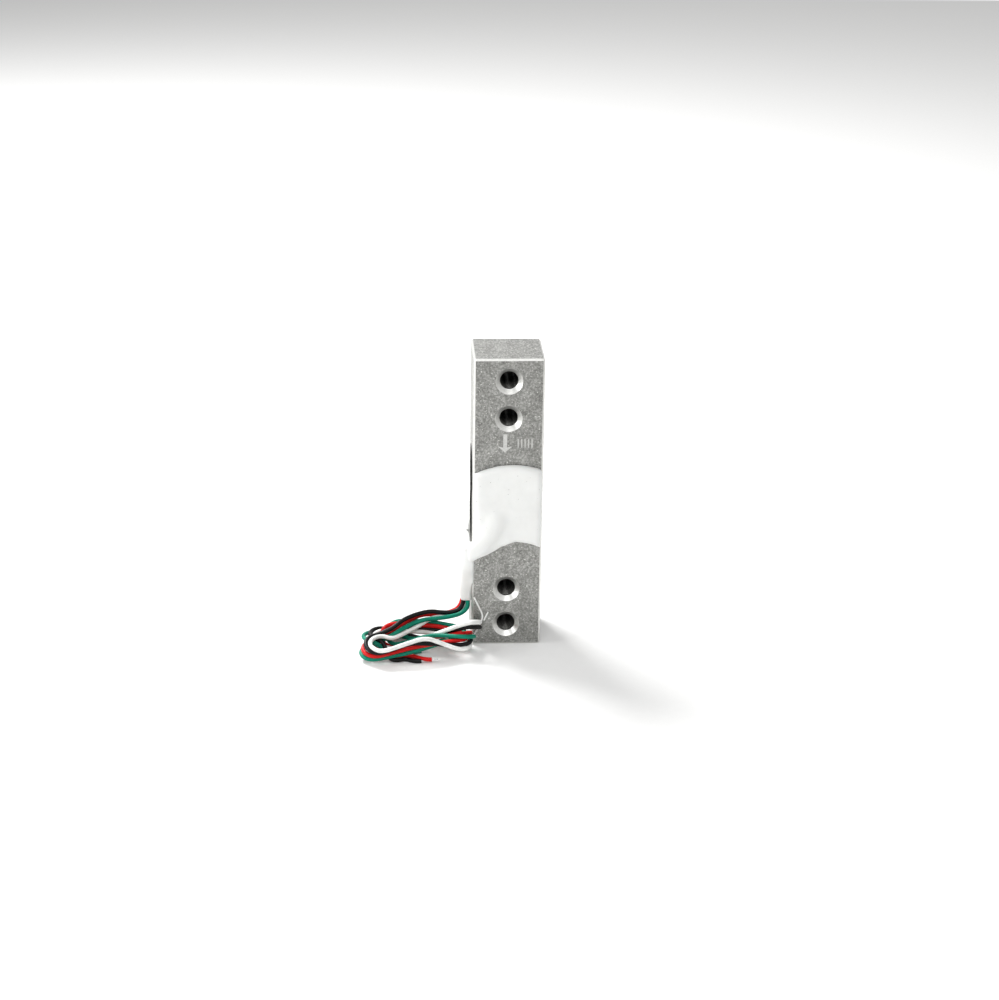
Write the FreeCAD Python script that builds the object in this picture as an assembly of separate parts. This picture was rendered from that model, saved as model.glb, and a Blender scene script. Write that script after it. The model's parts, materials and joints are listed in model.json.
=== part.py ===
import FreeCAD, Part
import math
import os

from FreeCAD import Vector

# Single point load cell, 5 kg class: an aluminium bar with a binocular opening,
# strain gauges over its four thin walls, silicone sealant over the gauges, and
# four thin leads that leave the left side and lie in a small loose hank.
#
# Millimetres. The bar stands on one end: +Z runs up its length, +Y runs away
# from the front face, +X is to the right. The origin is the centre of the foot
# face, on the surface the bar stands on. Each function builds one piece, and
# the list at the end writes each piece to its own STEP file.

# ---- bar -------------------------------------------------------------------
bar_length = 55.25
bar_width = 12.7
bar_depth = 12.7
edge_break = 0.35

thread_core_diameter = 3.3
countersink_diameter = 4.9
hole_end_distance = 4.125
hole_pitch = 7.0

lobe_diameter = 10.0
lobe_spacing = 8.8
waist_width = 7.0

# ---- strain gauges ---------------------------------------------------------
carrier_width = 3.4
carrier_height = 4.0
carrier_thickness = 0.06
foil_thickness = 0.03
grid_strands = 7
strand_width = 0.14
strand_gap = 0.16
strand_length = 2.2
solder_tab_width = 0.8
solder_tab_height = 0.7

# ---- terminal boards -------------------------------------------------------
board_thickness = 0.3
board_height = 2.6
board_margin = 0.3
pad_width = 0.8
pad_height = 2.0
pad_thickness = 0.05
pad_pitch = 1.2
front_pads = 4
rear_pads = 3
board_right_edge = -0.1

# ---- solder and fine wires -------------------------------------------------
solder_base_diameter = 0.72
solder_top_diameter = 0.36
solder_height = 0.34
joint_wire_gap = 0.13
tab_joint_share = 0.5
pad_joint_share = 0.85
crossover_joint_share = 0.28
jumper_diameter = 0.12
crossover_diameter = 0.16
crossover_pitch = 0.26
crossover_clearance = 0.04
crossover_slant = 1.5
crossover_arc_share = 0.2
board_overhang = 0.1
crossover_drop = 10.225
conductor_diameter = 0.3

# ---- silicone sealant ------------------------------------------------------
# A rise is measured up from the middle of the bar's height and a drop down from it.
patch_thickness = 1.3
patch_edge_round = 0.8
patch_side_gap = 0.3
patch_left_rise = 6.075
patch_middle_rise = 7.725
patch_right_rise = 7.125
patch_shoulder = 1.0
patch_right_drop = 8.025
patch_peak_drop = 6.825
patch_valley_drop = 8.625
patch_left_drop = 9.825
patch_bow = 0.25
shoulder_bow = 0.2
edge_round_steps = 4
hump_thickness = 2.0
hump_radius = 3.0
hump_inset = 0.05
hump_start_x = -2.2
hump_start_drop = 2.825
hump_end_x = -4.9
hump_end_drop = 8.225
bead_thickness = 2.1
bead_top_drop = 7.425
bead_bottom = 9.0
bead_edge_round = 0.6
bead_top_depth = 1.15
bead_band_depth = 3.15

# Front and rear edge of the bead below the crossover band. Each point is a depth
# behind the front face, and a share of the way up from the bead's bottom to the
# band.
bead_front_edge = [(-0.55, 0.63), (0.85, 0.22), (1.25, 0.0)]
bead_rear_edge = [(3.75, 0.04), (3.95, 0.41), (3.45, 0.84), (4.85, 1.0)]
bead_front_share = 0.92

# ---- leads -----------------------------------------------------------------
lead_diameter = 0.8
bare_end_length = 1.2
lead_board_gap = 0.725

# Each lead's route, from its soldered end on the front face, down and round the
# front left edge, down inside the side bead, out of it and into the hank. Routes
# are measured from the foot of the bar's front left edge. Above the bead's bottom
# they stretch, so that each starts below the board whatever its height.
lead_routes = {
    "white": [
        (1.75, -0.65, 25.6),
        (1.65, -0.65, 22.9),
        (1.05, -0.73, 20.7),
        (-0.60, -0.68, 18.95),
        (-0.67, 1.25, 16.5),
        (-0.65, 2.65, 14.0),
        (-0.70, 3.10, 11.4),
        (-0.75, 3.15, 8.9),
        (-1.00, 2.65, 7.0),
        (-2.25, 1.75, 5.6),
        (-4.25, 1.05, 4.9),
        (-6.65, 0.50, 4.6),
    ],
    "green": [
        (2.95, -0.65, 25.6),
        (2.65, -0.65, 22.6),
        (1.75, -0.73, 19.7),
        (-0.50, -0.75, 17.6),
        (-0.65, 0.75, 14.9),
        (-0.63, 1.75, 12.4),
        (-0.65, 2.05, 10.0),
        (-0.65, 1.90, 8.2),
        (-0.75, 1.40, 6.8),
        (-1.85, 0.85, 5.7),
        (-3.85, 0.35, 5.2),
        (-6.05, -0.25, 5.0),
    ],
    "red": [
        (4.15, -0.95, 25.6),
        (3.25, -1.45, 23.4),
        (1.65, -1.60, 20.9),
        (-1.15, -1.50, 18.85),
        (-1.60, 0.95, 16.4),
        (-1.55, 2.45, 13.9),
        (-1.57, 2.95, 11.4),
        (-1.63, 3.05, 9.2),
        (-1.80, 2.80, 7.4),
        (-2.75, 2.25, 6.2),
        (-4.65, 1.65, 5.7),
        (-7.05, 0.75, 5.3),
    ],
    "black": [
        (5.35, -1.00, 25.6),
        (4.35, -1.45, 23.2),
        (2.65, -1.60, 20.3),
        (-0.90, -1.57, 17.5),
        (-1.57, 0.35, 14.7),
        (-1.51, 1.50, 12.2),
        (-1.51, 1.90, 9.9),
        (-1.49, 2.05, 8.1),
        (-1.85, 1.60, 6.8),
        (-3.05, 1.25, 6.25),
        (-5.05, 1.00, 6.3),
        (-7.55, 0.45, 6.3),
    ],
}

# Each lead's free end, from the hank to the cut end of its insulation.
tail_routes = {
    "red": [
        (-12.85, -6.65, 2.0),
        (-11.45, -7.65, 1.5),
        (-9.95, -8.05, 1.3),
        (-8.55, -7.75, 0.8),
        (-7.25, -7.25, 0.6),
    ],
    "black": [
        (-15.05, -6.75, 1.6),
        (-13.85, -7.85, 0.8),
        (-12.35, -8.45, 0.9),
        (-10.85, -8.85, 0.6),
        (-9.45, -8.75, 0.5),
    ],
    "green": [
        (-14.25, -4.85, 2.2),
        (-12.85, -4.35, 1.3),
        (-11.35, -4.25, 0.8),
        (-9.85, -4.15, 0.6),
    ],
    "white": [
        (-5.85, -3.85, 2.6),
        (-7.25, -3.25, 1.5),
        (-8.65, -2.65, 0.9),
        (-10.05, -1.95, 0.6),
    ],
}

# ---- hank: an oval ring of the leads' turns, leaning on the floor ------------
# Its centre is measured from the foot of the bar's front left edge.
hank_centre_x = -9.55
hank_centre_y = -3.55
hank_half_straight = 6.2
hank_bend_radius = 3.0
hank_bundle_radius = 1.75
hank_lean = 35.0
hank_rise = 5.0
hank_yaw = 7.0
hank_bar_clearance = 0.3

# ---- sizes that follow from the ones above -----------------------------------
half_width = bar_width / 2
half_depth = bar_depth / 2
bar_middle = bar_length / 2
lobe_radius = lobe_diameter / 2
lobe_heights = [bar_middle - lobe_spacing / 2, bar_middle + lobe_spacing / 2]
foot_hole_heights = [hole_end_distance, hole_end_distance + hole_pitch]
hole_heights = foot_hole_heights + [bar_length - height for height in foot_hole_heights]
countersink_depth = (countersink_diameter - thread_core_diameter) / 2
board_bottom = bar_middle - board_height / 2
tab_reach = carrier_height / 2 - solder_tab_height
gauge_top_surface = carrier_thickness + foil_thickness
pad_top_surface = board_thickness + pad_thickness
crossover_height = bar_middle - crossover_drop
front_skin = half_depth + hump_thickness


def block(x_low, x_high, y_low, y_high, z_low, z_high):
    """A box between two corners."""
    return Part.makeBox(
        x_high - x_low, y_high - y_low, z_high - z_low, Vector(x_low, y_low, z_low)
    )


def fused(shapes):
    """One solid made of pieces that share volume or faces."""
    return shapes[0].multiFuse(shapes[1:]).removeSplitter()


def group(shapes):
    """Separate small solids kept together in one node."""
    return Part.makeCompound(shapes)


def rod(start, end, diameter):
    """A straight round wire between two points."""
    run = Vector(*end) - Vector(*start)
    return Part.makeCylinder(diameter / 2, run.Length, Vector(*start), run)


def bent_path(points, arc_share=0.45):
    """Straight runs joined by tangent arcs, with the radius of every arc."""
    points = [Vector(*point) for point in points]
    edges = []
    radii = []
    run_start = points[0]
    for before, corner, after in zip(points, points[1:], points[2:]):
        into = corner - before
        out = after - corner
        turn = into.getAngle(out)
        cut_back = arc_share * min(into.Length, out.Length)
        radii.append(cut_back / math.tan(turn / 2))
        into.normalize()
        out.normalize()
        arc_start = corner - into * cut_back
        arc_end = corner + out * cut_back
        inward = (out - into).normalize()
        sagitta = radii[-1] * (1 / math.cos(turn / 2) - 1)
        edges.append(Part.LineSegment(run_start, arc_start).toShape())
        edges.append(Part.Arc(arc_start, corner + inward * sagitta, arc_end).toShape())
        run_start = arc_end
    edges.append(Part.LineSegment(run_start, points[-1]).toShape())
    return Part.Wire(edges), radii


def tube(points, diameter, arc_share=0.45):
    """A round wire along a bent path."""
    path, radii = bent_path(points, arc_share)
    direction = Vector(*points[1]) - Vector(*points[0])
    circle = Part.Circle(Vector(*points[0]), direction, diameter / 2).toShape()
    solid = path.makePipeShell([Part.Wire([circle])], True, False)
    return solid, radii, path.Length


# ---- bar -------------------------------------------------------------------
def beam_blank():
    """The bar before its holes, which the side bead is cut to."""
    blank = block(-half_width, half_width, -half_depth, half_depth, 0, bar_length)
    return blank.makeChamfer(edge_break, blank.Edges)


def binocular_opening():
    """Two bores side to side through the bar, opened into each other."""
    bores = [
        Part.makeCylinder(
            lobe_radius, bar_width, Vector(-half_width, 0, height), Vector(1, 0, 0)
        )
        for height in lobe_heights
    ]
    waist = block(
        -half_width, half_width, -waist_width / 2, waist_width / 2, *lobe_heights
    )
    return fused(bores + [waist])


def mounting_hole(height):
    """One tapped hole front to back at its core size, countersunk at both mouths."""
    core = Part.makeCylinder(
        thread_core_diameter / 2, bar_depth, Vector(0, -half_depth, height), Vector(0, 1, 0)
    )
    sinks = [
        Part.makeCone(
            countersink_diameter / 2,
            thread_core_diameter / 2,
            countersink_depth,
            Vector(0, side * half_depth, height),
            Vector(0, -side, 0),
        )
        for side in (-1, 1)
    ]
    return fused([core] + sinks)


def beam():
    """The bar: one block with broken edges, four holes and the opening."""
    bar = beam_blank().cut(binocular_opening())
    for height in hole_heights:
        bar = bar.cut(mounting_hole(height))
    return bar


# ---- pieces glued on a face --------------------------------------------------
# Pieces on a face are drawn by their height above it. side is -1 on the front
# face and 1 on the rear face.
def on_face(side, x_low, x_high, z_low, z_high, base, top):
    """A plate on the front or rear face, from base to top above it."""
    near = side * (half_depth + base)
    far = side * (half_depth + top)
    return block(x_low, x_high, min(near, far), max(near, far), z_low, z_high)


def tab_end(index):
    """Direction from a gauge's middle to its solder tabs, which face the board."""
    return 1 if index == 0 else -1


def tab_centre(index, tab_side):
    """Centre of one solder tab on the lower (0) or upper (1) gauge."""
    x = tab_side * (carrier_width / 2 - solder_tab_width)
    return x, lobe_heights[index] + tab_end(index) * tab_reach


def gauge_carrier(side, index):
    """Film that the foil grid is bonded to, glued over the thin wall."""
    middle = lobe_heights[index]
    return on_face(
        side,
        -carrier_width / 2,
        carrier_width / 2,
        middle - carrier_height / 2,
        middle + carrier_height / 2,
        0,
        carrier_thickness,
    )


def foil_patch(side, x_low, x_high, z_low, z_high):
    """One rectangle of the foil."""
    return on_face(
        side,
        min(x_low, x_high),
        max(x_low, x_high),
        min(z_low, z_high),
        max(z_low, z_high),
        carrier_thickness,
        gauge_top_surface,
    )


def gauge_grid(side, index):
    """The foil: strands along the bar, joined by end loops into one meander."""
    end = tab_end(index)
    pitch = strand_width + strand_gap
    left = -(grid_strands - 1) * pitch / 2
    tab_edge = lobe_heights[index] + end * (tab_reach - solder_tab_height / 2)
    far_edge = tab_edge - end * strand_length
    strips = []
    for strand in range(grid_strands):
        x = left + strand * pitch
        strips.append(
            foil_patch(side, x - strand_width / 2, x + strand_width / 2, tab_edge, far_edge)
        )
    for strand in range(grid_strands - 1):
        x = left + strand * pitch
        loop_start = tab_edge if strand % 2 else far_edge
        loop_end = loop_start + (end if strand % 2 == 0 else -end) * 2 * strand_width
        strips.append(
            foil_patch(
                side,
                x - strand_width / 2,
                x + pitch + strand_width / 2,
                loop_start,
                loop_end,
            )
        )
    for tab_side in (-1, 1):
        x, z = tab_centre(index, tab_side)
        strips.append(
            foil_patch(
                side,
                x - solder_tab_width / 2,
                x + solder_tab_width / 2,
                tab_edge,
                z + end * solder_tab_height / 2,
            )
        )
        edge_strand = tab_side * -left
        strips.append(
            foil_patch(
                side,
                edge_strand - tab_side * strand_width / 2,
                x,
                tab_edge - end * strand_width,
                z,
            )
        )
    return fused(strips)


def board_width(pads):
    """Width that holds a row of pads and the margin at each end."""
    return (pads - 1) * pad_pitch + pad_width + 2 * board_margin


def board_left(pads):
    """Left edge of a face's terminal board."""
    return board_right_edge - board_width(pads)


def pad_centres(pads):
    """Places of the pads along the board, counted from the left."""
    right = board_right_edge - board_margin - pad_width / 2
    return [right - pad_pitch * (pads - 1 - index) for index in range(pads)]


def terminal_board(side, pads):
    """Small board between the two gauges of a face."""
    return on_face(
        side,
        board_left(pads),
        board_right_edge,
        board_bottom,
        board_bottom + board_height,
        0,
        board_thickness,
    )


def copper_pads(side, pads):
    """The board's row of solder pads."""
    return group(
        [
            on_face(
                side,
                x - pad_width / 2,
                x + pad_width / 2,
                bar_middle - pad_height / 2,
                bar_middle + pad_height / 2,
                board_thickness,
                pad_top_surface,
            )
            for x in pad_centres(pads)
        ]
    )


def solder_dome(side, x, z, base):
    """A cone of solder standing on a pad or a tab."""
    return Part.makeCone(
        solder_base_diameter / 2,
        solder_top_diameter / 2,
        solder_height,
        Vector(x, side * (half_depth + base), z),
        Vector(0, side, 0),
    )


def lower_joint_height():
    """Height of the solder joints that take the leads, low on the pads."""
    return bar_middle - pad_height / 2 + solder_base_diameter / 2


def upper_joint_height():
    """Height of the solder joints that take the fine wires, high on the pads."""
    return bar_middle + pad_height / 2 - solder_base_diameter / 2


def joint_point(side, x, z, base, share):
    """Point inside a solder joint, a share of its height up, where a wire ends."""
    return (x, side * (half_depth + base + solder_height * share), z)


def jumper_ends(side, pads):
    """Where each fine jumper starts on a gauge tab and ends on a pad."""
    centres = pad_centres(pads)
    lower_left, lower_right, upper_left, upper_right = (
        tab_centre(index, tab_side) for index in (0, 1) for tab_side in (-1, 1)
    )
    shared = centres[-1]
    pairs = [
        (lower_left, centres[-2]),
        (lower_right, shared),
        (upper_left, centres[-3]),
        (upper_right, shared),
    ]
    ends = []
    for tab, pad_x in pairs:
        pad_z = bar_middle
        if tab[1] > bar_middle:
            pad_z = upper_joint_height() - joint_wire_gap
        ends.append(
            (
                joint_point(side, *tab, gauge_top_surface, tab_joint_share),
                joint_point(side, pad_x, pad_z, pad_top_surface, pad_joint_share),
            )
        )
    return ends


def jumper_wires(side, pads):
    """Fine enamelled wires from the gauges' tabs to the board."""
    return group([rod(start, end, jumper_diameter) for start, end in jumper_ends(side, pads)])


def solder_joints(side, pads):
    """Every solder joint of one face, with the wires' places left free."""
    centres = pad_centres(pads)
    places = [(x, upper_joint_height(), pad_top_surface) for x in centres]
    places += [(x, bar_middle, pad_top_surface) for x in centres[-2:]]
    if side < 0:
        places += [(x, lower_joint_height(), pad_top_surface) for x in centres]
    for index in (0, 1):
        for tab_side in (-1, 1):
            places.append((*tab_centre(index, tab_side), gauge_top_surface))
    domes = [solder_dome(side, x, z, base) for x, z, base in places]
    wires = jumper_wires(side, pads).Solids + crossover_wires().Solids
    if side < 0:
        wires += lead_conductors().Solids
    return fused_domes(domes, wires)


def fused_domes(domes, wires):
    """Solder joints that touch run together, and each grips its wires."""
    joined = domes[0].multiFuse(domes[1:])
    for wire in wires:
        joined = joined.cut(wire)
    return group(joined.Solids)


def lead_conductors():
    """Bare strands from the end of each lead's insulation into its solder."""
    rods = []
    for colour, x in zip(lead_routes, pad_centres(front_pads)):
        start = lead_route(colour)[0]
        end = joint_point(-1, x, lower_joint_height(), pad_top_surface, tab_joint_share)
        bare = rod(start, end, conductor_diameter)
        rods.append(bare.cut(lead_inside(colour)))
    return group(rods)


def crossover_wires():
    """Fine wires, one for each rear pad, from the front board round the left side to the rear one."""
    off_face = crossover_clearance + crossover_diameter / 2
    wires = []
    front = pad_centres(front_pads)
    rear = pad_centres(rear_pads)
    for index in range(rear_pads):
        x_out = -half_width - off_face
        y_out = half_depth + off_face
        column = -half_width + edge_break + (index + 0.5) * crossover_pitch
        level = crossover_height - index * crossover_pitch
        turn_height = upper_joint_height() + (rear_pads - index) * crossover_pitch
        joint_height = upper_joint_height() + joint_wire_gap
        front_joint = (front[index], joint_height, pad_top_surface, crossover_joint_share)
        rear_joint = (rear[index], joint_height, pad_top_surface, crossover_joint_share)
        front_start = joint_point(-1, *front_joint)
        rear_end = joint_point(1, *rear_joint)
        points = [
            front_start,
            (board_left(front_pads) - board_overhang, front_start[1], turn_height),
            (column, -y_out, turn_height - crossover_slant),
            (column, -y_out, level + crossover_slant),
            (x_out, -y_out, level),
            (x_out, y_out, level),
            (column, y_out, level + crossover_slant),
            (column, y_out, turn_height - crossover_slant),
            (board_left(rear_pads) - board_overhang, rear_end[1], turn_height),
            rear_end,
        ]
        wires.append(tube(points, crossover_diameter, crossover_arc_share)[0])
    return group(wires)


# ---- silicone sealant --------------------------------------------------------
def patch_section(side, inset, height):
    """Outline of a sealant patch, drawn in by inset, at a height above its face."""
    y = side * (half_depth + height)
    left = -half_width + patch_side_gap + inset
    right = half_width - patch_side_gap - inset

    def corner(x, z):
        return Vector(x, y, z)

    top_left = corner(left, bar_middle + patch_left_rise - inset)
    top_middle = corner(patch_shoulder, bar_middle + patch_middle_rise - inset)
    top_right = corner(right - patch_shoulder, bar_middle + patch_right_rise - inset)
    shoulder = corner(right, bar_middle + patch_right_rise - patch_shoulder - inset)
    bottom_right = corner(right, bar_middle - patch_right_drop + inset)
    peak = corner(half_width / 4, bar_middle - patch_peak_drop + inset)
    valley = corner(-half_width / 3, bar_middle - patch_valley_drop + inset)
    bottom_left = corner(left, bar_middle - patch_left_drop + inset)
    bow = Vector(0, 0, patch_bow)
    outward = Vector(shoulder_bow, 0, shoulder_bow)
    arcs = [
        (top_left, top_middle, top_right),
        (top_right, (top_right + shoulder) / 2 + outward, shoulder),
        (bottom_right, (bottom_right + peak) / 2 + bow, peak),
        (peak, (peak + valley) / 2 + bow, valley),
        (valley, (valley + bottom_left) / 2 - bow, bottom_left),
    ]
    top, shoulder_arc, right_arc, slope, bulge = (Part.Arc(*arc).toShape() for arc in arcs)
    right_side = Part.LineSegment(shoulder, bottom_right).toShape()
    left_side = Part.LineSegment(bottom_left, top_left).toShape()
    return Part.Wire([top, shoulder_arc, right_side, right_arc, slope, bulge, left_side])


def patch_pad(side):
    """The patch's even layer over both gauges and the board, with rounded edges."""
    sections = [patch_section(side, 0, 0)]
    wall = patch_thickness - patch_edge_round
    for step in range(edge_round_steps):
        angle = math.pi / 2 * step / (edge_round_steps - 1)
        sections.append(
            patch_section(
                side,
                patch_edge_round * (1 - math.cos(angle)),
                wall + patch_edge_round * math.sin(angle),
            )
        )
    return Part.makeLoft(sections, True, True)


def lead_hump():
    """The front patch's thicker part, which buries the leads."""
    y = -half_depth - hump_thickness + hump_radius
    start = Vector(hump_start_x, y, bar_middle - hump_start_drop)
    end = Vector(hump_end_x, y, bar_middle - hump_end_drop)
    back = Part.makeCylinder(hump_radius, (end - start).Length, start, end - start)
    ends = [Part.makeSphere(hump_radius, centre) for centre in (start, end)]
    outline = Part.Face(patch_section(-1, hump_inset, 0))
    room = outline.extrude(Vector(0, -2 * hump_thickness, 0))
    return back.multiFuse(ends).common(room)


def round_outer_edges(solid, radius, axis, level):
    """Round the edges that lie wholly in one plane, the free face of the sealant."""
    outer = []
    for edge in solid.Edges:
        box = edge.BoundBox
        low = (box.XMin, box.YMin, box.ZMin)[axis]
        high = (box.XMax, box.YMax, box.ZMax)[axis]
        if abs(low - level) < 1e-3 and abs(high - level) < 1e-3:
            outer.append(edge)
    return solid.makeFillet(radius, outer)


def front_fittings():
    """Everything that the front patch is poured over."""
    pieces = [gauge_carrier(-1, 0), gauge_carrier(-1, 1), gauge_grid(-1, 0), gauge_grid(-1, 1)]
    pieces += [terminal_board(-1, front_pads), copper_pads(-1, front_pads)]
    pieces += [jumper_wires(-1, front_pads), solder_joints(-1, front_pads)]
    pieces += [lead_conductors(), crossover_wires()]
    return pieces + [lead_inside(colour) for colour in lead_routes]


def rear_fittings():
    """Everything that the rear patch is poured over."""
    pieces = [gauge_carrier(1, 0), gauge_carrier(1, 1), gauge_grid(1, 0), gauge_grid(1, 1)]
    pieces += [terminal_board(1, rear_pads), copper_pads(1, rear_pads)]
    pieces += [jumper_wires(1, rear_pads), solder_joints(1, rear_pads)]
    return pieces + [crossover_wires()]


def poured_over(shape, pieces):
    """Sealant with the room of the pieces in it taken out."""
    for piece in pieces:
        for solid in piece.Solids:
            shape = shape.cut(solid)
    return max(shape.Solids, key=lambda solid: solid.Volume)


def sealant_front():
    """Patch over the front gauges and board, thicker where the leads lie."""
    patch = fused([patch_pad(-1), lead_hump()])
    return poured_over(patch, front_fittings())


def sealant_rear():
    """Patch over the rear gauges and board."""
    return poured_over(patch_pad(1), rear_fittings())


def sealant_side():
    """Bead that carries the leads round the front left edge and down the side."""
    rear = half_depth + patch_thickness
    bead_top = bar_middle - bead_top_drop
    band_top = crossover_height + crossover_pitch
    band_bottom = crossover_height - (rear_pads + 1) * crossover_pitch

    def edge_point(depth, share):
        """A point of the bead's outline, from its depth and its share of the way up."""
        return depth - half_depth, bead_bottom + share * (band_bottom - bead_bottom)

    corners = [(-front_skin, bead_top), edge_point(-hump_thickness, bead_front_share)]
    corners += [edge_point(*point) for point in bead_front_edge + bead_rear_edge]
    corners += [
        (rear, band_bottom),
        (rear, band_top),
        (bead_band_depth - half_depth, band_top),
        (bead_top_depth - half_depth, bead_top),
    ]
    x = -half_width - bead_thickness
    outline = Part.makePolygon([Vector(x, y, z) for y, z in corners + corners[:1]])
    reach = bead_thickness + patch_side_gap
    bead = Part.Face(outline).extrude(Vector(reach, 0, 0))
    bead = round_outer_edges(bead, bead_edge_round, 0, x)
    bead = bead.cut(beam_blank())
    leads = [lead_inside(colour) for colour in lead_routes]
    return poured_over(bead, leads + [crossover_wires()])


# ---- leads and hank ------------------------------------------------------------
def from_foot_corner(route):
    """A route's points in the bar's frame."""
    return [(x - half_width, y - half_depth, z) for x, y, z in route]


def lead_route(colour):
    """A lead's points, stretched above the bead's bottom to start below the board."""
    route = from_foot_corner(lead_routes[colour])
    drawn_height = route[0][2] - bead_bottom
    stretch = (board_bottom - lead_board_gap - bead_bottom) / drawn_height
    points = []
    for x, y, z in route:
        over_bead_bottom = max(0, z - bead_bottom)
        points.append((x, y, z + over_bead_bottom * (stretch - 1)))
    return points


def lead_inside(colour):
    """A lead's whole tube before the hank takes its end."""
    return tube(lead_route(colour), lead_diameter)[0]


def hank():
    """Oval ring that the leads' turns fill: two straights joined by half rings."""
    bend = hank_bend_radius
    half = hank_half_straight
    straights = [
        Part.makeCylinder(
            hank_bundle_radius, 2 * half, Vector(-half, side * bend, 0), Vector(1, 0, 0)
        )
        for side in (-1, 1)
    ]
    right = Part.makeTorus(
        bend, hank_bundle_radius, Vector(half, 0, 0), Vector(0, 0, 1), -180, 180, 180
    )
    right.rotate(Vector(half, 0, 0), Vector(0, 0, 1), -90)
    left = Part.makeTorus(
        bend, hank_bundle_radius, Vector(-half, 0, 0), Vector(0, 0, 1), -180, 180, 180
    )
    left.rotate(Vector(-half, 0, 0), Vector(0, 0, 1), 90)
    ring = fused([right, left] + straights)
    ring.rotate(Vector(), Vector(1, 0, 0), hank_lean)
    ring.rotate(Vector(), Vector(0, 1, 0), -hank_rise)
    ring.rotate(Vector(), Vector(0, 0, 1), hank_yaw)
    lean = math.sin(math.radians(hank_lean)) * math.cos(math.radians(hank_rise))
    rise = math.sin(math.radians(hank_rise))
    lowest = half * rise + bend * math.hypot(rise, lean) + hank_bundle_radius
    ring.translate(
        Vector(hank_centre_x - half_width, hank_centre_y - half_depth, lowest)
    )
    clearance = hank_bar_clearance
    keep_out = block(
        -half_width - clearance,
        half_width,
        -half_depth - clearance,
        half_depth,
        0,
        bar_length,
    )
    return ring.cut(keep_out)


def lead(colour, ring):
    """A lead from its soldered end to where it enters the hank."""
    solid, radii, length = tube(lead_route(colour), lead_diameter)
    report_tube("lead_" + colour, solid, radii, length)
    outside = solid.cut(ring)
    return max(outside.Solids, key=lambda piece: piece.Volume)


def tail(colour, ring):
    """A lead's free end outside the hank."""
    solid, radii, length = tube(from_foot_corner(tail_routes[colour]), lead_diameter)
    report_tube("tail_" + colour, solid, radii, length)
    outside = solid.cut(ring)
    return max(outside.Solids, key=lambda piece: piece.Volume)


def bare_end(colour):
    """Tinned strands past the cut end of a lead's insulation."""
    route = from_foot_corner(tail_routes[colour])
    last = Vector(*route[-1])
    run = last - Vector(*route[-2])
    run.z = 0
    run.normalize()
    tip = last + run * bare_end_length
    bare = rod(tuple(last), tuple(tip), conductor_diameter)
    return bare.cut(tube(route, lead_diameter)[0])


def report_tube(name, solid, radii, length):
    """Print a tube's bend radii and its volume against its section times its length."""
    section = math.pi * lead_diameter**2 / 4
    print(
        name,
        "length %.2f" % length,
        "volume ratio %.4f" % (solid.Volume / (section * length)),
        "radii",
        " ".join("%.1f" % radius for radius in radii),
    )


# ---- all pieces ----------------------------------------------------------------
def build():
    """Every piece by its node's name."""
    pieces = {"beam": beam()}
    for side, face, pads in ((-1, "front", front_pads), (1, "rear", rear_pads)):
        for index, place in enumerate(("lower", "upper")):
            pieces[f"gauge_carrier_{face}_{place}"] = gauge_carrier(side, index)
            pieces[f"gauge_grid_{face}_{place}"] = gauge_grid(side, index)
        pieces["terminal_board_" + face] = terminal_board(side, pads)
        pieces["copper_pads_" + face] = copper_pads(side, pads)
        pieces["solder_joints_" + face] = solder_joints(side, pads)
        pieces["jumper_wires_" + face] = jumper_wires(side, pads)
    pieces["crossover_wires"] = crossover_wires()
    pieces["lead_conductors"] = lead_conductors()
    pieces["sealant_front"] = sealant_front()
    pieces["sealant_rear"] = sealant_rear()
    pieces["sealant_side"] = sealant_side()
    ring = hank()
    pieces["lead_hank"] = ring
    for colour in lead_routes:
        pieces["lead_" + colour] = lead(colour, ring)
        pieces["lead_tail_" + colour] = tail(colour, ring)
        pieces["bare_end_" + colour] = bare_end(colour)
    return pieces


os.makedirs("parts", exist_ok=True)
for name, shape in build().items():
    shape.exportStep("parts/%s.step" % name)
    print(name, "solids", len(shape.Solids), "volume %.3f" % shape.Volume, shape.isValid())
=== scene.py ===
"""Looks of a single point load cell: bar, sealant, gauges, leads and stage."""

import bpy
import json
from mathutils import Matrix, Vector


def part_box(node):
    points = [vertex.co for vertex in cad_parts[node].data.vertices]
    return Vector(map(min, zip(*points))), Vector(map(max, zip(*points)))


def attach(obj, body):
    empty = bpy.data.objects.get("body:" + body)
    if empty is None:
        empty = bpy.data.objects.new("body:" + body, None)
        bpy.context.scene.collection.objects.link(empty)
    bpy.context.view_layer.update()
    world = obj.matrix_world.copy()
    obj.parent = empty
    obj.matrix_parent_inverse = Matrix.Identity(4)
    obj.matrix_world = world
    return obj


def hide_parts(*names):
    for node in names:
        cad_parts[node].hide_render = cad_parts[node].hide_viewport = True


bl_info = {
    "name": "Single point load cell",
    "version": (1, 0, 0),
    "blender": (4, 5, 0),
    "location": "View3D > Sidebar > Load cell",
    "description": "Dresses the bar, the sealant and the leads of a single point load cell",
    "category": "Object",
}

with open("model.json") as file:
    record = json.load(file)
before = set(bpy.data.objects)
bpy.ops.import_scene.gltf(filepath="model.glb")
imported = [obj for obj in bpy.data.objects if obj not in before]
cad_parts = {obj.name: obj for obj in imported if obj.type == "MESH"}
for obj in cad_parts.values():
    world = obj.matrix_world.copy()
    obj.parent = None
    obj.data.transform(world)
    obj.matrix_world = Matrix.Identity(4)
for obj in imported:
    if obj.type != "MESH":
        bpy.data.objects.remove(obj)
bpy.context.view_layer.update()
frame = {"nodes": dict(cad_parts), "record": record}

import json
import math
from contextlib import contextmanager

import bmesh
import bpy
import numpy
from mathutils import Matrix, Quaternion, Vector, noise

MM = 0.001

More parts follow.
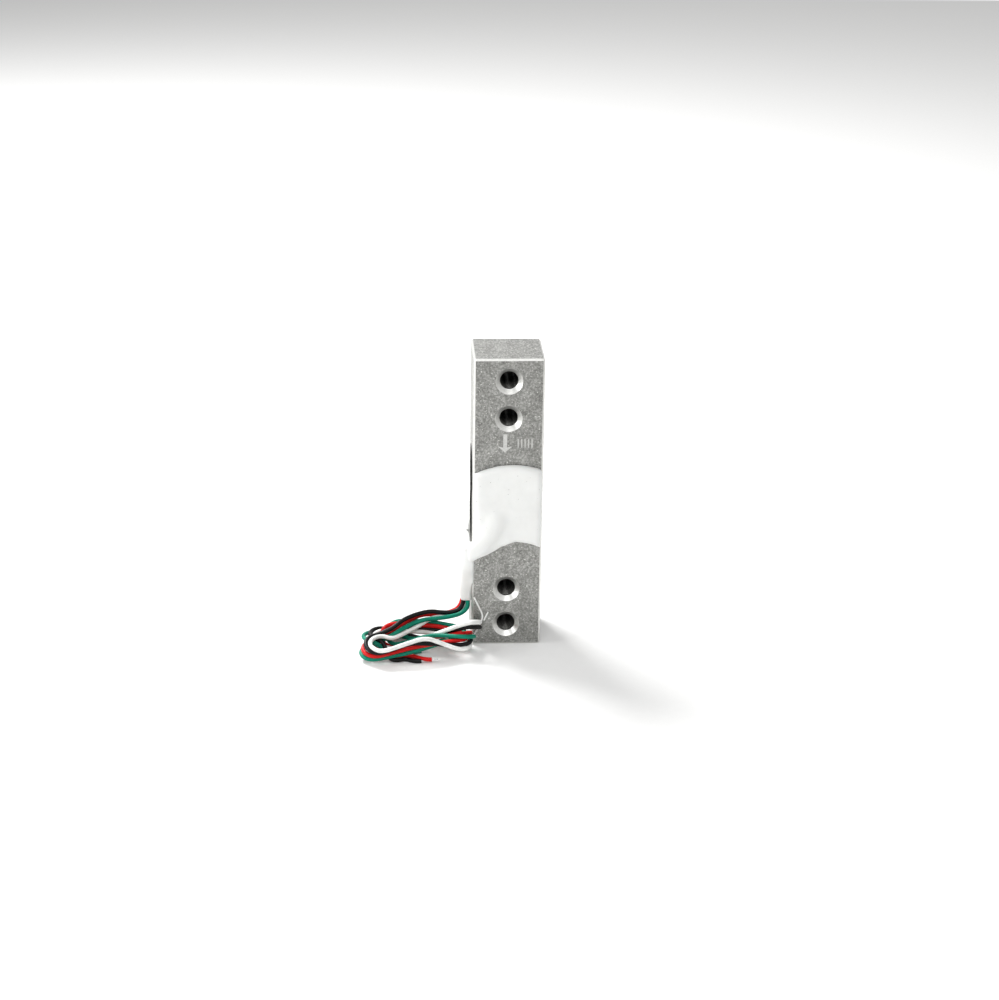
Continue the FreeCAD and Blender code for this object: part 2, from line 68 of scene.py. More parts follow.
# The bar stands on its foot, front face towards -Y. Its box gives all the places.
BAR_LOW, BAR_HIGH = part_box("beam")
BAR_MIDDLE = (BAR_LOW.z + BAR_HIGH.z) / 2
FOOT_CORNER = Vector((BAR_LOW.x, BAR_LOW.y, BAR_LOW.z))
COLOURS = ("white", "green", "red", "black")

# ---- leads ----
# Millimetres from the foot of the bar's front left edge. Each lead runs from its
# solder joint round the edge, down inside the side bead, out of it and into the hank.
LEAD_ROUTES = {
    "white": [
        (1.75, -0.65, 25.6), (1.65, -0.65, 22.9), (1.05, -0.73, 20.7), (-0.6, -0.68, 18.95),
        (-0.67, 1.25, 16.5), (-0.65, 2.65, 14.0), (-0.65, 2.45, 11.4), (-0.7, 2.65, 8.9), (-1.0, 2.45, 7.0),
        (-2.25, 1.75, 5.9), (-4.25, 1.15, 5.3), (-6.35, 0.7, 5.45), (-8.0, 0.3, 5.1), (-9.65, -0.8, 4.4),
        (-11.6, -2.0, 3.8), (-13.25, -3.2, 3.45), (-14.9, -4.4, 3.15),
    ],
    "green": [
        (2.95, -0.65, 25.6), (2.65, -0.65, 22.6), (1.75, -0.73, 19.7), (-0.5, -0.75, 17.6),
        (-0.65, 0.75, 14.9), (-0.63, 1.75, 12.4), (-0.65, 1.95, 10.0), (-0.65, 1.9, 8.2), (-0.6, 1.45, 6.9),
        (-1.85, 0.95, 5.8), (-3.85, 0.55, 5.4), (-6.05, 0.15, 5.2), (-8.55, -0.3, 5.25),
        (-10.4, -0.9, 4.95), (-12.45, -2.0, 4.55), (-14.45, -3.6, 4.0),
    ],
    "red": [
        (4.15, -0.95, 25.6), (3.25, -1.45, 23.4), (1.65, -1.6, 20.9), (-1.15, -1.5, 18.85),
        (-1.6, 0.95, 16.4), (-1.55, 2.45, 13.9), (-1.57, 2.95, 11.4), (-1.55, 2.95, 9.2), (-1.7, 2.75, 7.4),
        (-2.45, 2.15, 6.2), (-4.25, 1.65, 5.6), (-6.65, 1.15, 5.5), (-8.55, 0.5, 5.8), (-10.4, 0.0, 5.45),
        (-12.45, -1.4, 4.9), (-14.45, -3.0, 4.25),
    ],
    "black": [
        (5.35, -1.0, 25.6), (4.35, -1.45, 23.2), (2.65, -1.6, 20.3), (-0.9, -1.57, 17.5),
        (-1.57, 0.35, 14.7), (-1.51, 1.5, 12.2), (-1.51, 1.9, 9.9), (-1.35, 2.05, 8.1), (-1.85, 1.65, 6.6),
        (-3.25, 1.25, 5.85), (-5.25, 1.05, 5.8), (-7.55, 0.85, 6.2), (-10.4, -0.5, 6.0),
        (-12.8, -1.9, 5.35), (-14.45, -3.4, 4.35),
    ],
}

# Each coil's left end, middle, right end, middle and so on, in turn.
COIL_STATIONS = {
    "green": [
        (-20.38, -5.8, 1.74), (-10.88, -7.0, 2.08), (-1.09, -2.6, 3.52), (-7.63, -0.1, 4.53),
        (-16.07, -1.6, 2.94), (-7.33, -2.6, 2.59), (0.29, -2.7, 2.65), (-8.58, -1.4, 1.44),
        (-19.86, -2.2, 2.76),
    ],
    "red": [
        (-19.98, -6.0, 2.23), (-10.87, -6.5, 2.65), (-0.73, -2.8, 3.41), (-6.52, 0.2, 3.86),
        (-16.75, -1.9, 2.58), (-7.31, -2.0, 2.31), (-0.07, -2.3, 3.53), (-8.57, -0.7, 1.12),
        (-19.41, -2.0, 2.06),
    ],
    "black": [
        (-19.54, -6.1, 2.67), (-10.88, -6.8, 3.55), (0.19, -3.0, 2.28), (-6.52, 0.1, 3.32),
        (-17.89, -2.2, 2.03), (-6.77, -2.3, 2.65), (1.58, -2.2, 4.36), (-8.57, -1.0, 1.05),
        (-18.76, -2.2, 2.75),
    ],
    "white": [
        (-18.96, -6.3, 2.96), (-8.7, -6.6, 4.63), (-0.21, -3.6, 2.26), (-7.64, -0.5, 3.08),
        (-18.59, -2.5, 1.68), (-7.32, -2.4, 2.7), (1.65, -2.4, 5.45), (-8.59, -1.8, 1.43),
        (-18.31, -2.5, 1.87),
    ],
}

# A fold's radius in millimetres and its steps, and where each return lies, as front to
# back and height.
FOLD_RADIUS = 2.5
FOLD_STEPS = 4
FOLD_LEANS = ((-0.98, -0.2), (1, 0), (-0.6, -0.8), (0.93, -0.36), (-1, 0))
# Where a pass has its points on its way from fold to fold.
PASS_SHARES = (0.25, 0.5, 0.75)

# Each lead's free end, from the hank to the cut end of its insulation.
TAIL_ROUTES = {
    "white": [(-13.6, -4.8, 0.9), (-11.8, -3.7, 0.6), (-10.2, -2.5, 0.5), (-8.65, -1.6, 0.5)],
    "green": [(-14.8, -4.6, 0.8), (-12.6, -4.0, 0.6), (-10.9, -3.6, 0.6), (-9.4, -3.4, 0.6)],
    "red": [
        (-14.7, -5.9, 0.6), (-12.9, -6.6, 0.8), (-11.05, -6.1, 0.9), (-8.9, -7.8, 0.8), (-7.45, -7.7, 0.7),
    ],
    "black": [
        (-15.4, -6.7, 0.5), (-13.9, -7.6, 0.5), (-12.2, -6.5, 0.5), (-10.6, -7.7, 0.5), (-9.25, -7.6, 0.5),
    ],
}

# The point of each route at which the lead leaves the bead.
EXIT_POINT = 7

# The leads are settled by turns. The first points of each stay where they are, and
# samples of one lead that are this near along it don't push each other.
FIXED_POINTS = 9
SAMPLES_PER_POINT = 4
NEAR_SAMPLES = 2 * SAMPLES_PER_POINT
SETTLE_TURNS = 60
SETTLE_PACE = 1.4
SETTLE_EVENING = 0.12
NO_DISTANCE = 1e-9


def from_foot(point):
    """A point in millimetres from the foot corner, as a place in the frame."""
    return FOOT_CORNER + Vector(point) * MM


def linear(hex_colour, alpha=1.0):
    """Linear colour of an sRGB hex value."""
    channels = [int(hex_colour[i : i + 2], 16) / 255 for i in (1, 3, 5)]
    return tuple(c / 12.92 if c <= 0.04045 else ((c + 0.055) / 1.055) ** 2.4 for c in channels) + (alpha,)


# ---- settings a user would change ----
def setting(kind, name, description, default, **limits):
    """A setting that the panel shows."""
    make = getattr(bpy.props, kind + "Property")
    return make(name=name, description=description, default=default, **limits)


def length_setting(name, description, default):
    """A length in metres."""
    return setting("Float", name, description, default, unit="LENGTH", precision=5)


def colour_setting(name, description, hex_colour):
    """A colour, shown as a swatch."""
    limits = {"subtype": "COLOR", "size": 3, "min": 0, "max": 1}
    return setting("FloatVector", name, description, linear(hex_colour)[:3], **limits)


def power_setting(name, description, default):
    """The power of a lamp."""
    return setting("Float", name, description, default, unit="POWER")


class LoadCellBar(bpy.types.PropertyGroup):
    thread_pitch: length_setting("Thread pitch", "Rise of one turn in the tapped holes", 0.7 * MM)
    thread_depth: length_setting("Thread depth", "Depth of the tapped thread", 0.36 * MM)
    grain: length_setting("Grain", "Width of the grain left on the metal by etching", 0.34 * MM)
    metal: colour_setting("Metal", "Etched outer faces of the bar", "#949491")
    # The bore colour is dark as painted shade for the insides of the holes and the opening.
    bore: colour_setting("Bore", "Walls of the opening and the tapped holes", "#4A4A48")
    cone: colour_setting("Countersinks", "Bright cones round the holes", "#D2D2CF")


class LoadCellSealant(bpy.types.PropertyGroup):
    voxel: length_setting("Skin fineness", "Spacing of the points of the sealant's skin", 0.13 * MM)
    ripple: length_setting("Ripple", "Height of the waves left in the skin as it set", 0.07 * MM)
    thread: length_setting("Thread", "Thickness of a thread drawn from the bead", 0.3 * MM)
    colour: colour_setting("Silicone", "Cured white silicone", "#F5F6F4")
    speck_density: setting("Float", "Specks", "Specks of dirt on each square metre", 90000.0, min=0)
    speck_size: length_setting("Speck size", "Radius of a speck of dirt", 0.05 * MM)
    seed: setting("Int", "Seed", "Order of the specks", 4)


class LoadCellLeads(bpy.types.PropertyGroup):
    diameter: length_setting("Diameter", "Outside of a lead's insulation", 0.8 * MM)
    strand: length_setting("Strand", "Diameter of one strand of the conductor", 0.1 * MM)
    strands: setting("Int", "Strands", "Strands round the middle one", 6, min=3)
    bare: length_setting("Bare end", "Length of conductor past the insulation", 1.2 * MM)
    white: colour_setting("White", "White lead", "#F4F5F2")
    green: colour_setting("Green", "Green lead", "#06836A")
    red: colour_setting("Red", "Red lead", "#CE1614")
    black: colour_setting("Black", "Black lead", "#050506")


class LoadCellStage(bpy.types.PropertyGroup):
    floor: colour_setting("Floor", "Paper that the object stands on", "#F2F2F1")
    floor_size: length_setting("Floor size", "Side of the floor", 1.6)
    key_power: power_setting("Key", "Power of the lamp behind and above", 3.6)
    left_power: power_setting("Left", "Power of the lamp on the left", 1.2)
    front_power: power_setting("Front", "Power of the lamp over the camera", 1.6)
    room: setting("Float", "Room", "Strength of the light from all round", 0.4, min=0)


# ---- nodes and materials ----
BLACK, WHITE = (0, 0, 0, 1), (1, 1, 1, 1)
METAL = {"Metallic": 1.0}
# The middle of a noise's range, where most of it lies.
NOISE_LOW, NOISE_HIGH = 0.3, 0.7
PAPER_GLOW = 0.1


def add_node(tree, kind, inputs=None, **settings):
    """Add a node with its settings, and set or link its inputs."""
    node = tree.nodes.new(kind)
    for name, value in settings.items():
        setattr(node, name, value)
    for key, value in (inputs or {}).items():
        if isinstance(value, bpy.types.NodeSocket):
            tree.links.new(value, node.inputs[key])
        else:
            node.inputs[key].default_value = value
    return node


def maths(tree, operation, first, second):
    """Two numbers worked together."""
    return add_node(tree, "ShaderNodeMath", {0: first, 1: second}, operation=operation).outputs[0]


def waves_per_metre(size):
    """Scale of a pattern whose features are that wide."""
    return 1 / size


def new_material(name):
    """An empty material, its tree, its Principled shader and the Object coordinates."""
    material = bpy.data.materials.new(name)
    material.use_nodes = True
    tree = material.node_tree
    tree.nodes.clear()
    shader = add_node(tree, "ShaderNodeBsdfPrincipled")
    add_node(tree, "ShaderNodeOutputMaterial", {"Surface": shader.outputs["BSDF"]})
    place = add_node(tree, "ShaderNodeTexCoord").outputs["Object"]
    return material, tree, shader, place


def pattern(tree, place, size, detail=2.0, squeeze=(1, 1, 1), turn=(0, 0, 0)):
    """Noise whose features are size wide, squeezed along each axis and turned as asked."""
    mapping = {"Vector": place, "Scale": squeeze, "Rotation": turn}
    moved = add_node(tree, "ShaderNodeMapping", mapping).outputs[0]
    noisy = {"Vector": moved, "Scale": waves_per_metre(size), "Detail": detail}
    return add_node(tree, "ShaderNodeTexNoise", noisy).outputs["Fac"]


def ramp(tree, factor, stops):
    """Colours between the stops, each a place and a colour."""
    node = add_node(tree, "ShaderNodeValToRGB", {"Fac": factor})
    elements = node.color_ramp.elements
    while len(elements) < len(stops):
        elements.new(0.5)
    for element, (position, colour) in zip(elements, stops):
        element.position = position
        element.color = colour
    return node.outputs["Color"]


def two_tones(tree, factor, low, high):
    """A colour from low to high, over the middle of a noise's range."""
    return ramp(tree, factor, [(NOISE_LOW, low), (NOISE_HIGH, high)])


def between(tree, factor, low, high):
    """A number from low to high, over the middle of a noise's range."""
    limits = {"From Min": NOISE_LOW, "From Max": NOISE_HIGH, "To Min": low, "To Max": high}
    return add_node(tree, "ShaderNodeMapRange", {"Value": factor, **limits}).outputs["Result"]


def shade(colour, share):
    """A colour made lighter or darker, as a material's colour."""
    return tuple(min(1.0, channel * share) for channel in tuple(colour)[:3]) + (1.0,)


def blend_colour(tree, factor, first, second, mode="MIX"):
    """Two colours mixed."""
    settings = {"data_type": "RGBA", "blend_type": mode}
    mixed = add_node(tree, "ShaderNodeMix", {0: factor, 6: first, 7: second}, **settings)
    return mixed.outputs[2]


def dress(tree, shader, colour, height, rough, relief, inputs):
    """Give a shader its colour, a roughness and a relief that follow one height, and its
    other inputs. The relief is a strength and a depth."""
    tree.links.new(colour, shader.inputs["Base Color"])
    tree.links.new(between(tree, height, *rough), shader.inputs["Roughness"])
    raised = {"Height": height, "Strength": relief[0], "Distance": relief[1]}
    normal = add_node(tree, "ShaderNodeBump", raised).outputs["Normal"]
    tree.links.new(normal, shader.inputs["Normal"])
    for name, value in inputs.items():
        shader.inputs[name].default_value = value


def patterned(name, low, high, size, rough, relief, inputs, squeeze=(1, 1, 1), detail=2, skin=None):
    """A material whose tone, gloss and relief follow one pattern, or whose gloss and
    relief follow a finer one, skin wide."""
    material, tree, shader, place = new_material(name)
    clouds = height = pattern(tree, place, size, detail, squeeze)
    if skin:
        height = pattern(tree, place, skin)
    dress(tree, shader, two_tones(tree, clouds, low, high), height, rough, relief, inputs)
    return material


def etched_aluminium(settings):
    """Aluminium alloy bar, sawn, etched and tumbled: a dull grey grain with small painted
    glints, darker clouds, and short bright scratches from handling."""
    material, tree, shader, place = new_material("etched_aluminium")
    grain = pattern(tree, place, settings.grain, detail=3)
    stops = ((0.32, 0.72), (0.5, 1.0), (0.66, 1.4))
    colour = ramp(tree, grain, [(spot, shade(settings.metal, share)) for spot, share in stops])
    clouds = pattern(tree, place, 2.4 * MM, detail=4)
    cloudy = two_tones(tree, clouds, linear("#DDDDDC"), linear("#FFFFFF"))
    colour = blend_colour(tree, 1.0, colour, cloudy, "MULTIPLY")
    for tilt, squeeze in ((0.6, 9), (-0.9, 12), (0.1, 7)):
        streak = pattern(tree, place, 0.3 * MM, detail=1, squeeze=(1, 1, squeeze), turn=(0, tilt, 0))
        cut = ramp(tree, streak, [(0.71, BLACK), (0.75, WHITE)])
        colour = blend_colour(tree, cut, colour, shade(settings.metal, 2.1))
    # Painted glints: small bright spots put into the colour where the metal would sparkle in the light.
    painted_glint_noise = pattern(tree, place, 0.3 * MM, detail=0)
    painted_glint = ramp(tree, painted_glint_noise, [(0.74, BLACK), (0.8, WHITE)])
    colour = blend_colour(tree, painted_glint, colour, shade(settings.metal, 2.4))
    dress(tree, shader, colour, grain, (0.52, 0.38), (0.3, 0.03 * MM), METAL)
    return material


def bored_aluminium(settings):
    """Walls cut by drill, tap and cutter: fine tool rings, on metal painted dark as shade
    inside the holes and the opening."""
    # Dark tones: painted shade where little light reaches the walls of the holes and the opening.
    tones = (shade(settings.bore, 0.5), shade(settings.bore, 1.5))
    return patterned(
        "bored_aluminium", *tones, 0.4 * MM, (0.5, 0.36), (0.2, 0.02 * MM), METAL, (5, 0.4, 0.4)
    )


def countersunk_aluminium(settings):
    """Cones cut last, by a countersink: bright metal with fine rings round each hole."""
    tones = (shade(settings.cone, 0.85), shade(settings.cone, 1.1))
    name = "countersunk_aluminium"
    return patterned(name, *tones, 0.3 * MM, (0.42, 0.3), (0.15, 0.02 * MM), METAL, (0.6, 4, 0.6))


def bleached_mark():
    """Mark bleached into the metal by a laser: matt and near white, a little uneven."""
    tones = (linear("#BDBDBA"), linear("#DADAD7"))
    name = "laser_bleached_aluminium"
    return patterned(name, *tones, 0.15 * MM, (0.75, 0.6), (0.2, 0.02 * MM), {})


def cured_silicone(settings):
    """Neutral cure silicone, white, poured and left to set: soft satin skin that lets
    a little light in, with faint greyer clouds and orange peel."""
    tones = (shade(settings.colour, 0.95), shade(settings.colour, 1.0))
    inputs = {
        "IOR": 1.41,
        "Subsurface Weight": 0.15,
        "Subsurface Radius": (0.6, 0.55, 0.5),
        "Subsurface Scale": 0.8 * MM,
    }
    sizes = {"size": 3.5 * MM, "detail": 3, "skin": 0.5 * MM}
    look = {"rough": (0.36, 0.48), "relief": (0.12, 0.05 * MM), "inputs": inputs}
    return patterned("cured_silicone", *tones, **sizes, **look)


def pvc_insulation(name, colour):
    """Extruded PVC on a hook-up wire: smooth, a little shiny, with a faint cloudy tone
    and a slightly uneven skin."""
    tones = (shade(colour, 0.84), shade(colour, 1.1))
    look = {"rough": (0.32, 0.44), "relief": (0.1, 0.03 * MM), "skin": 0.25 * MM}
    inputs = {"IOR": 1.53, "Specular IOR Level": 0.16}
    return patterned("pvc_insulation_" + name, *tones, 1.6 * MM, inputs=inputs, **look)


def bright_metal(name, low, high, size, rough):
    """A plain metal with a small change of tone and gloss over its surface."""
    tones = (linear(low), linear(high))
    return patterned(name, *tones, size, (rough, rough * 1.4), (0.15, 0.01 * MM), METAL)


def plain_film(name, low, high, size, rough, ior):
    """A thin plastic or resin with a small change of tone over its surface."""
    tones = (linear(low), linear(high))
    return patterned(name, *tones, size, (rough, rough * 1.3), (0.1, 0.01 * MM), {"IOR": ior})


def glass_epoxy():
    """Glass cloth in green epoxy: the weave shows faintly, 0.4 mm from thread to thread."""
    material, tree, shader, place = new_material("glass_epoxy")
    scale = waves_per_metre(0.4 * MM) / math.tau
    wave = {"Vector": place, "Scale": scale, "Distortion": 0.4}
    warp, weft = (
        add_node(tree, "ShaderNodeTexWave", wave, bands_direction=direction).outputs["Fac"]
        for direction in ("X", "Z")
    )
    weave = maths(tree, "MULTIPLY", warp, weft)
    tones = ramp(tree, weave, [(0.0, linear("#2E5B34")), (1.0, linear("#4C8250"))])
    dress(tree, shader, tones, weave, (0.35, 0.45), (0.1, 0.02 * MM), {"IOR": 1.55})
    return material


def matt_paper(colour):
    """Seamless white paper. To the camera and in reflections it glows a little, so
    that it reads as white away from the shadow."""
    material, tree, shader, place = new_material("matt_paper")
    fibres = pattern(tree, place, 1.5 * MM, detail=3)
    tone = two_tones(tree, fibres, shade(colour, 0.985), shade(colour, 1.0))
    tree.links.new(tone, shader.inputs["Base Color"])
    glow = maths(tree, "MULTIPLY", seen_directly(tree), PAPER_GLOW)
    tree.links.new(glow, shader.inputs["Emission Strength"])
    shader.inputs["Roughness"].default_value = 0.9
    shader.inputs["Specular IOR Level"].default_value = 0.0
    shader.inputs["Emission Color"].default_value = WHITE
    return material


def seen_directly(tree):
    """1 for what the camera, a reflection or a refraction sees, else 0."""
    rays = add_node(tree, "ShaderNodeLightPath").outputs
    seen = maths(tree, "MAXIMUM", rays["Is Camera Ray"], rays["Is Glossy Ray"])
    return maths(tree, "MAXIMUM", seen, rays["Is Transmission Ray"])


# ---- making pieces ----
def put(name, data):
    """A new object, linked to the scene."""
    thing = bpy.data.objects.new(name, data)
    bpy.context.scene.collection.objects.link(thing)
    return thing


def new_piece(name, data, material, slot, *nodes):
    """Link a finished mesh or curve as a piece, in place of CAD nodes if named."""
    piece = put(name, data)
    if material:
        data.materials.clear()
        data.materials.append(material)
    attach(piece, "root")
    if nodes:
        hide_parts(*nodes)
    return piece


@contextmanager
def editing(mesh):
    """A mesh's shape to work on, which goes back into the mesh at the end."""
    shape = bmesh.new()
    shape.from_mesh(mesh)
    yield shape
    shape.to_mesh(mesh)
    shape.free()


def merged_copy(node):
    """A CAD node's mesh with its loose triangles joined."""
    mesh = frame["nodes"][node].data.copy()
    stale = mesh.attributes.get("custom_normal")
    if stale:
        mesh.attributes.remove(stale)
    with editing(mesh) as shape:
        bmesh.ops.remove_doubles(shape, verts=shape.verts, dist=0.001 * MM)
    return mesh


def with_modifiers(data, add_modifiers=None):
    """A mesh or a curve after modifiers, as a plain mesh."""
    holder = put("holder", data)
    if add_modifiers:
        add_modifiers(holder)
    graph = bpy.context.evaluated_depsgraph_get()
    graph.update()
    made = bpy.data.meshes.new_from_object(holder.evaluated_get(graph), depsgraph=graph)
    bpy.data.objects.remove(holder)
    return made


def geometry_tree(name, floats, wholes):
    """A Geometry Nodes tree with a geometry in and out and named inputs: the tree, what
    adds a node and gives its first output, its inputs by name and its last node."""
    tree = bpy.data.node_groups.new(name, "GeometryNodeTree")
    tree.interface.new_socket("Geometry", in_out="INPUT", socket_type="NodeSocketGeometry")
    tree.interface.new_socket("Geometry", in_out="OUTPUT", socket_type="NodeSocketGeometry")
    for labels, kind in ((floats, "NodeSocketFloat"), (wholes, "NodeSocketInt")):
        for label in labels:
            tree.interface.new_socket(label, in_out="INPUT", socket_type=kind)

    def add(kind, inputs=None, **settings):
        return add_node(tree, kind, inputs, **settings).outputs[0]

    source = add_node(tree, "NodeGroupInput")
    return tree, add, source.outputs, add_node(tree, "NodeGroupOutput")


def run_tree(mesh, tree, values):
    """A mesh run through a Geometry Nodes tree with these inputs."""

    def add(holder):
        modifier = holder.modifiers.new("tree", "NODES")
        modifier.node_group = tree
        for item in tree.interface.items_tree:
            if item.in_out == "INPUT" and item.name in values:
                modifier[item.identifier] = values[item.name]

    return with_modifiers(mesh, add)


def end_tree(tree, add, output, geometry, material):
    """Close a tree: instances made real, then the material."""
    real = add("GeometryNodeRealizeInstances", {"Geometry": geometry})
    smooth = add("GeometryNodeSetShadeSmooth", {"Geometry": real})
    painted = add("GeometryNodeSetMaterial", {"Geometry": smooth, "Material": material})
    tree.links.new(painted, output.inputs[0])
    return tree


# ---- bar ----
# A thread's rows of faces to a turn, and the rows over which it runs out at each rim.
ROWS_PER_TURN = 8
FADE_ROWS = 6
# How steeply its flanks go down, and how much of the crest is flat.
FLANK_SLOPE, CREST_FLAT = 1.3, 0.15
# How near an edge a face belongs to it, how squarely an outer face looks along an axis,
# and how far a countersink reaches.
EDGE_BAND = 0.3 * MM
SQUARE = 0.99
CONE_REACH = 3 * MM
SHARP_ANGLE = math.radians(25)


def tapped_holes():
    """Height and core radius of every tapped hole, from the mounts of the record."""
    holes = []
    for mount in frame["record"]["mounts"]:
        if mount["kind"] == "bolt_pattern":
            reach = mount["dims"]["spacing_y_mm"] * MM / 2
            radius = mount["dims"]["hole_r_mm"] * MM
            holes += [(mount["pos_m"][2] + side * reach, radius) for side in (-1, 1)]
    return holes


def thread_radius(angle, depth_along, core, settings, fade):
    """Radius of a right-hand tapped thread at an angle round and a way along the hole."""
    phase = (depth_along / settings.thread_pitch + angle / math.tau) % 1.0
    ridge = abs(2 * phase - 1)
    groove = min(1.0, max(0.0, FLANK_SLOPE * ridge - CREST_FLAT))
    return core + settings.thread_depth * groove * fade


def without_wall(shape, height, core):
    """Take out a plain hole's wall and give its two rims, front and rear, each in order."""

    def off_axis(point):
        return math.hypot(point.x, point.z - height)

    slack = 0.02 * MM
    wall = [face for face in shape.faces if all(abs(off_axis(v.co) - core) < slack for v in face.verts)]
    bmesh.ops.delete(shape, geom=wall, context="FACES_ONLY")
    open_edges = [edge for edge in shape.edges if edge.is_wire]
    bmesh.ops.delete(shape, geom=open_edges, context="EDGES")
    rim = [
        vert
        for vert in shape.verts
        if abs(off_axis(vert.co) - core) < slack and any(e.is_boundary for e in vert.link_edges)
    ]
    front, rear = (
        sorted(
            (vert for vert in rim if (vert.co.y > 0) == at_rear),
            key=lambda vert: math.atan2(vert.co.z - height, vert.co.x),
        )
        for at_rear in (False, True)
    )
    if len(front) != len(rear) or not front:
        raise RuntimeError("a hole's two rims don't match, so its thread can't be cut")
    return front, rear


def tap_hole(shape, height, core, settings):
    """Swap a plain hole's wall for a threaded one between the same two rims."""
    front, rear = without_wall(shape, height, core)
    angles = [math.atan2(vert.co.z - height, vert.co.x) for vert in front]
    start, end = front[0].co.y, rear[0].co.y
    rows = round((end - start) / settings.thread_pitch * ROWS_PER_TURN)
    previous = front
    for row in range(1, rows + 1):
        y = start + (end - start) * row / rows
        fade = min(1.0, min(row, rows - row) / FADE_ROWS)
        ring = rear
        if row < rows:
            radii = [thread_radius(angle, y, core, settings, fade) for angle in angles]
            ring = [
                shape.verts.new((radius * math.cos(angle), y, height + radius * math.sin(angle)))
                for radius, angle in zip(radii, angles)
            ]
        for index, vert in enumerate(ring):
            after = (index + 1) % len(ring)
            face = shape.faces.new((previous[index], vert, ring[after], previous[after]))
            face.material_index = 1
            face.smooth = True
        previous = ring


def finish_of(face, heights):
    """0 for the outer faces, 1 for the walls of the opening, 2 for what a cutter left
    bright: the countersinks and the broken edges."""
    middle = face.calc_center_median()
    at_side = abs(middle.x) > BAR_HIGH.x - EDGE_BAND
    at_front = abs(middle.y) > BAR_HIGH.y - EDGE_BAND
    at_end = not BAR_LOW.z + EDGE_BAND < middle.z < BAR_HIGH.z - EDGE_BAND
    square = max(abs(part) for part in face.normal) > SQUARE
    if square and (at_side and abs(face.normal.x) > SQUARE or at_front or at_end):
        return 0
    if at_side + at_front + at_end > 1:
        return 2
    by_a_hole = any(math.hypot(middle.x, middle.z - height) < CONE_REACH for height in heights)
    return 2 if by_a_hole else 1


class LOADCELL_OT_bar(bpy.types.Operator):
    """Dress the bar: tapped threads, etched outer faces and machined walls"""

    bl_idname = "loadcell.bar"
    bl_label = "Bar"

    def execute(self, context):
        settings = context.scene.loadcell_bar
        mesh = merged_copy("beam")
        mesh.materials.clear()
        for finish in (etched_aluminium, bored_aluminium, countersunk_aluminium):
            mesh.materials.append(finish(settings))
        holes = tapped_holes()
        heights = [height for height, _ in holes]
        with editing(mesh) as shape:
            for face in shape.faces:
                face.material_index = finish_of(face, heights)
                face.smooth = True
            for height, core in holes:
                tap_hole(shape, height, core, settings)
            bmesh.ops.recalc_face_normals(shape, faces=shape.faces)
        mesh.set_sharp_from_angle(angle=SHARP_ANGLE)
        new_piece("bar", mesh, None, "aluminium_bar", "beam")
        return {"FINISHED"}


# ---- marks ----
# Millimetres from the middle of the foot, and the marks' own sizes.
MARK_CENTRE = (-0.6, 39.5)
MARK_HEIGHT = 3.4
MARK_WIDTH = 2.6
MARK_STEM = 0.7
MARK_STEM_SHARE = 0.35
MARK_BARB = 0.2
RULED_START = 2.35
RULED_PITCH = 0.62
RULED_WIDTH = 0.24
RULED_HEIGHT = MARK_HEIGHT / 2
RULED_COUNT = 5
MARK_THICKNESS = 0.012


def arrow_outline():
    """Outline of a plain arrow that points down, round its centre."""
    half, stem, top = MARK_WIDTH / 2, MARK_STEM / 2, MARK_HEIGHT / 2
    neck = top - half - MARK_STEM_SHARE * MARK_HEIGHT
    barb = neck + MARK_BARB
    return [(-stem, top), (-stem, neck), (-half, barb), (0, -top), (half, barb), (stem, neck), (stem, top)]


def raised_plate(outline, centre):
    """A thin plate on the front face with that outline."""
    mesh = bpy.data.meshes.new("plate")
    front = BAR_LOW.y - MARK_THICKNESS * MM
    with editing(mesh) as shape:
        places = [((centre[0] + x) * MM, front, (centre[1] + z) * MM) for x, z in outline]
        face = shape.faces.new([shape.verts.new(place) for place in places])
        made = bmesh.ops.extrude_face_region(shape, geom=[face])
        for item in made["geom"]:
            if isinstance(item, bmesh.types.BMVert):
                item.co.y = BAR_LOW.y + MARK_THICKNESS * MM
        bmesh.ops.recalc_face_normals(shape, faces=shape.faces)
    return mesh


def ruled_marks_tree(material):
    """One ruled mark repeated along the bar's width."""
    tree, add, source, output = geometry_tree("Ruled marks", ["Pitch"], ["Count"])
    offset = add("ShaderNodeCombineXYZ", {"X": source["Pitch"]})
    line = add("GeometryNodeMeshLine", {"Count": source["Count"], "Offset": offset})
    copies = add("GeometryNodeInstanceOnPoints", {"Points": line, "Instance": source["Geometry"]})
    return end_tree(tree, add, output, copies, material)


class LOADCELL_OT_marks(bpy.types.Operator):
    """Mark the load end: an arrow that shows the direction of load, and ruled marks"""

    bl_idname = "loadcell.marks"
    bl_label = "Marks"

    def execute(self, context):
        material = bleached_mark()
        new_piece("load_arrow", raised_plate(arrow_outline(), MARK_CENTRE), material, "aluminium_bar")
        half, tall = RULED_WIDTH / 2, RULED_HEIGHT / 2
        bar = [(-half, -tall), (half, -tall), (half, tall), (-half, tall)]
        centre = (MARK_CENTRE[0] + RULED_START, MARK_CENTRE[1])
        mesh = run_tree(
            raised_plate(bar, centre),
            ruled_marks_tree(material),
            {"Count": RULED_COUNT, "Pitch": RULED_PITCH * MM},
        )
        new_piece("ruled_marks", mesh, material, "aluminium_bar")
        return {"FINISHED"}


# ---- sealant ----
# Points of each lead's route inside a sealant solid, and the coat's radius there.
COATED_POINTS = {"sealant_front": (0, 4), "sealant_side": (3, 8)}
COAT_RADIUS = 0.84
SKIN_SMOOTHING = 12
SKIN_SWELL = 0.1
# The skin's waves in millimetres, the fine ones' share of the height, and how far off
# the bar the skin is free to move.
BROAD_WAVE, FINE_WAVE = 3.2, 1.1
FINE_SHARE = 0.35
FREE_SKIN = 0.2
# Smoothing round the coats: how near them, how far off the bar, and how often.
BLEND_REACH = 3.2
BLEND_OFF_BAR = 0.1
BLEND_TURNS = 110

